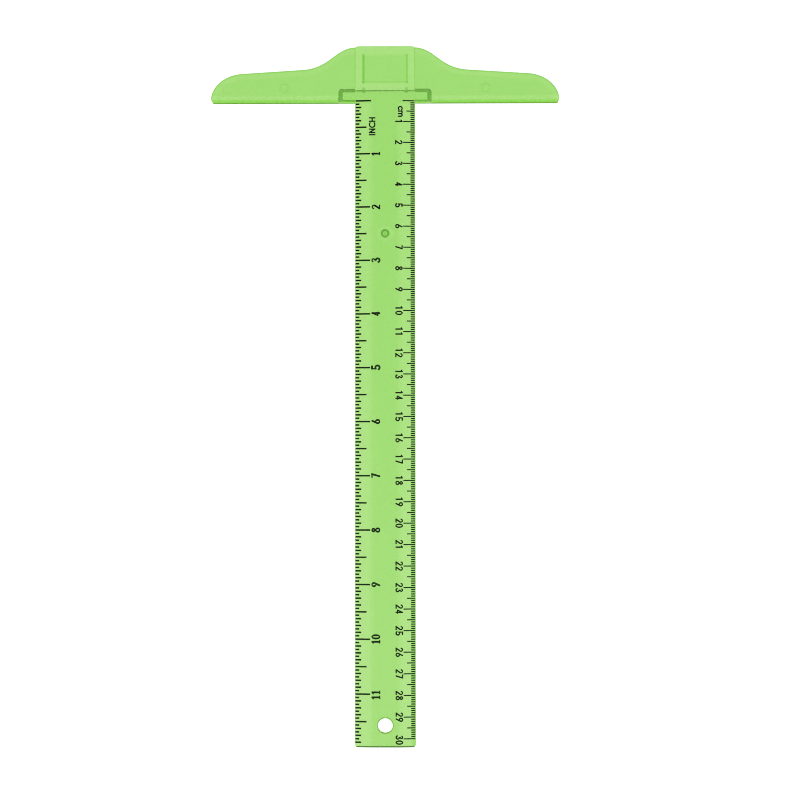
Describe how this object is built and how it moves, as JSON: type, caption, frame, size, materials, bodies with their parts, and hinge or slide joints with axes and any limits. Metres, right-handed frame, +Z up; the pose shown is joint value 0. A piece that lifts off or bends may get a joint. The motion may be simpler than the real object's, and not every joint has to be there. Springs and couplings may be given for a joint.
{
  "type": "t-square",
  "caption": "Small drawing T-square: clear green head with a bearing fence, and a detachable blade ruled in inches and centimetres.",
  "frame": {"origin": "middle of the part's footprint, at the foot of the bearing fence", "axes": "+Z up, out of the printed face; the head lies across X at the +Y end and the blade points along -Y"},
  "size_m": [0.1654, 0.3298, 0.0078],
  "materials": {
    "head_plastic": "clear green tinted plastic, polished",
    "blade_plastic": "clear green tinted plastic, polished",
    "ink": "matte black print"
  },
  "bodies": {
    "head": {"head": "head_plastic"},
    "blade": {"blade": "blade_plastic", "inch_graduations": "ink", "cm_graduations": "ink", "inch_numerals": "ink", "cm_numerals": "ink", "inch_legend": "ink", "cm_legend": "ink"}
  },
  "joints": [
    {"name": "blade_slide", "type": "slide", "parent": "head", "child": "blade", "axis": [0, -1, 0], "range_m": [0, 0.02]}
  ]
}
